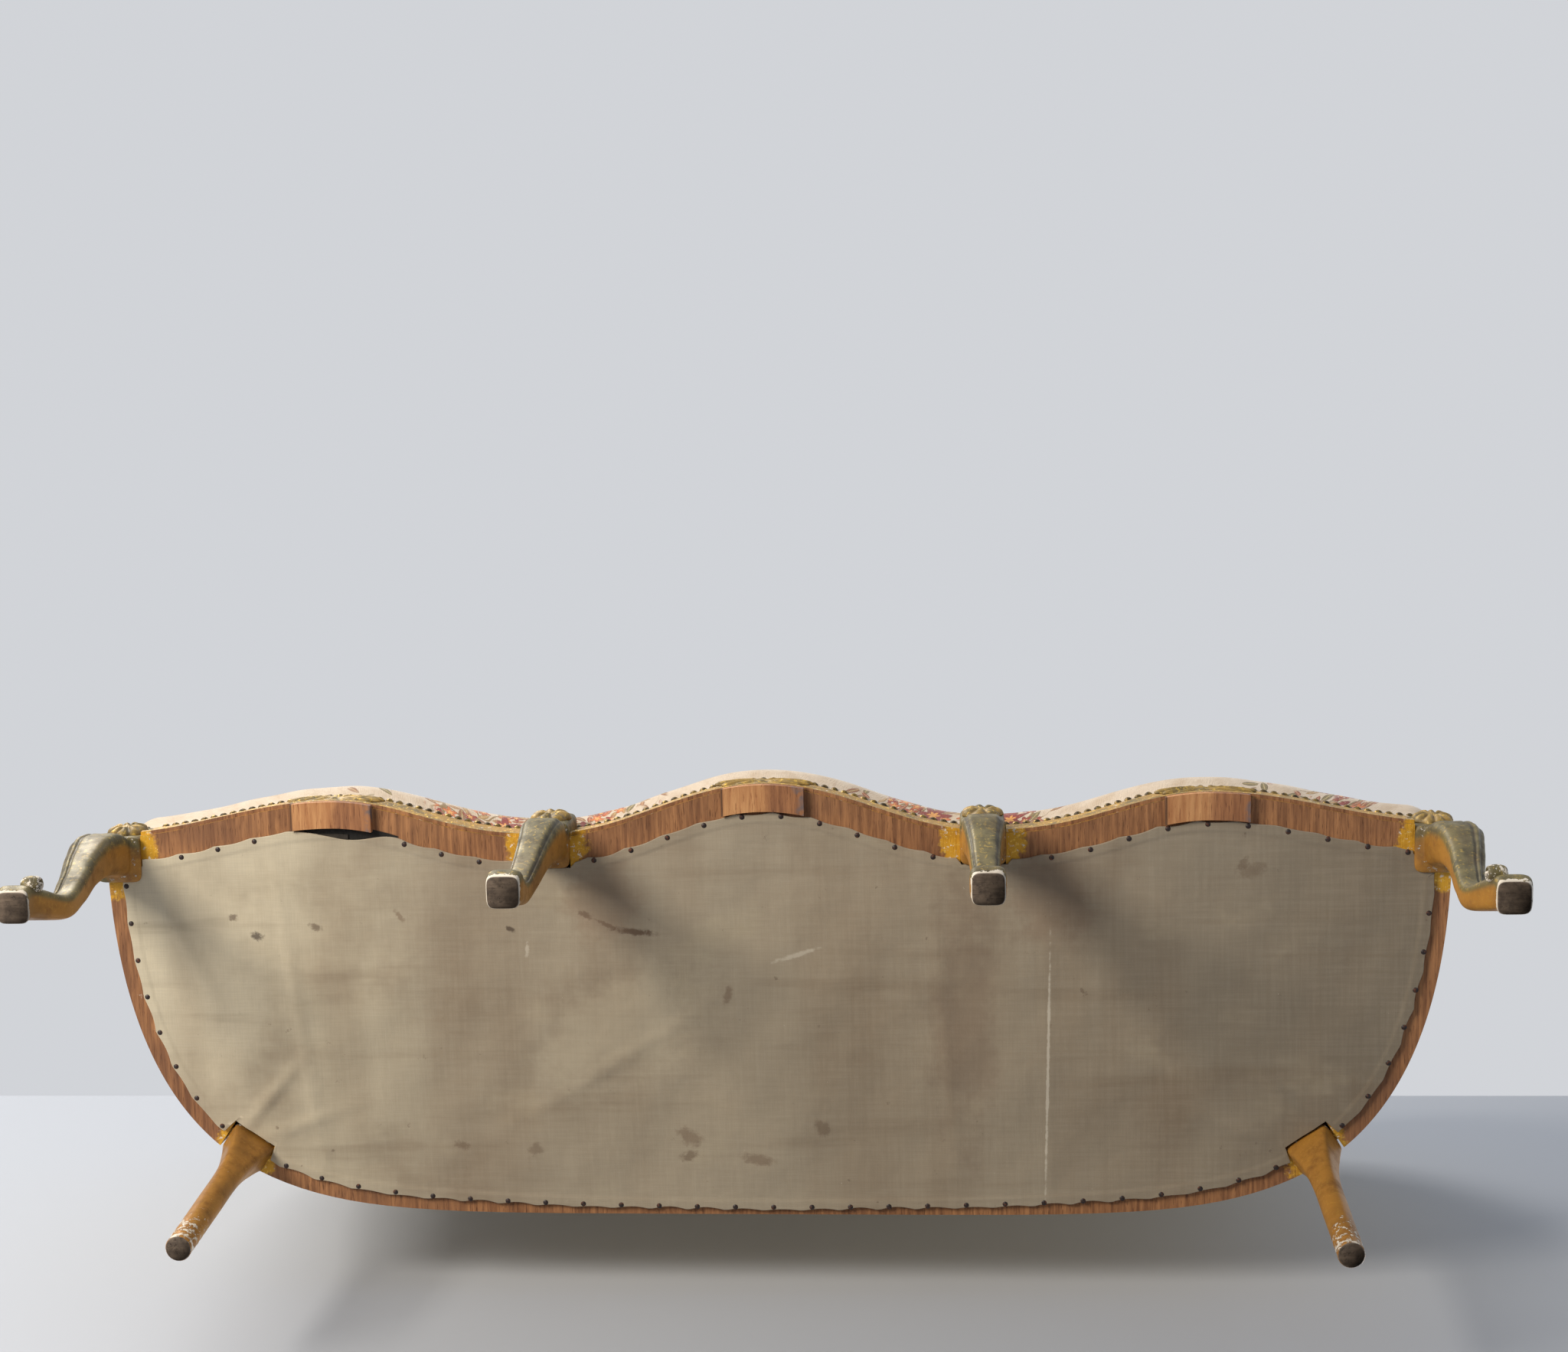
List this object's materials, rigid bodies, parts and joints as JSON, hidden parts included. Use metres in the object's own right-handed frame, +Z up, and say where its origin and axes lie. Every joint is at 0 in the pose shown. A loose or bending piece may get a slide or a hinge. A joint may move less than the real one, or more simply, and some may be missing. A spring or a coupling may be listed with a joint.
{
  "type": "cabriole sofa",
  "caption": "Giltwood cabriole sofa with a serpentine basket seat on cabriole front legs, a raked wrap-round back, closed arms and nailed tapestry.",
  "frame": {"origin": "on the floor under the middle of the sofa's bounding box", "axes": "+X to the sofa's left-to-right width as seen from the front, +Y towards the back, +Z up"},
  "size_m": [1.8872, 0.683, 1.008],
  "materials": {
    "giltwood": "worn gilding and ochre paint over gesso, satin",
    "rail_wood": "bare planed hardwood below, gilded show face",
    "frame_wood": "bare sawn hardwood",
    "tapestry": "cream tapestry weave with red and orange flower sprays",
    "outside_cloth": "plain cream woven cloth",
    "linen": "dusty plain-weave linen, stained",
    "jute": "coarse jute",
    "nail_brass": "antiqued domed heads",
    "tack_iron": "blued iron",
    "spring_steel": "drawn wire"
  },
  "bodies": {
    "root": {"front_rail_left": "rail_wood", "front_rail_middle": "rail_wood", "front_rail_right": "rail_wood", "side_rail_left": "rail_wood", "side_rail_right": "rail_wood", "rear_rail": "rail_wood", "apron_block_left": "rail_wood", "apron_block_middle": "rail_wood", "apron_block_right": "rail_wood", "cross_rail_left": "frame_wood", "cross_rail_right": "frame_wood", "corner_braces": "frame_wood", "tenon_pegs": "frame_wood", "crest_dowels": "frame_wood", "back_upright_left": "frame_wood", "back_upright_right": "frame_wood", "back_lower_rail_left": "frame_wood", "back_lower_rail_middle": "frame_wood", "back_lower_rail_right": "frame_wood", "arm_lower_rail_left": "frame_wood", "arm_lower_rail_right": "frame_wood", "front_leg_left_corner": "giltwood", "front_leg_left_inner": "giltwood", "front_leg_right_inner": "giltwood", "front_leg_right_corner": "giltwood", "rear_leg_left": "giltwood", "rear_leg_right": "giltwood", "crest_rail_left": "giltwood", "crest_rail_middle": "giltwood", "crest_rail_right": "giltwood", "arm_rail_left": "giltwood", "arm_rail_right": "giltwood", "arm_post_left": "giltwood", "arm_post_right": "giltwood", "crest_ornament": "giltwood", "seat_pad": "tapestry", "seat_border": "tapestry", "back_pad": "tapestry", "arm_inner_pad_left": "tapestry", "arm_inner_pad_right": "tapestry", "armrest_pad_left": "tapestry", "armrest_pad_right": "tapestry", "outside_back": "outside_cloth", "outside_arm_left": "outside_cloth", "outside_arm_right": "outside_cloth", "seat_webbing": "jute", "back_webbing": "jute", "arm_webbing": "jute", "seat_hessian": "jute", "dust_cover": "linen", "seat_nails": "nail_brass", "dust_cover_tacks": "tack_iron", "seat_springs": "spring_steel"}
  },
  "joints": []
}
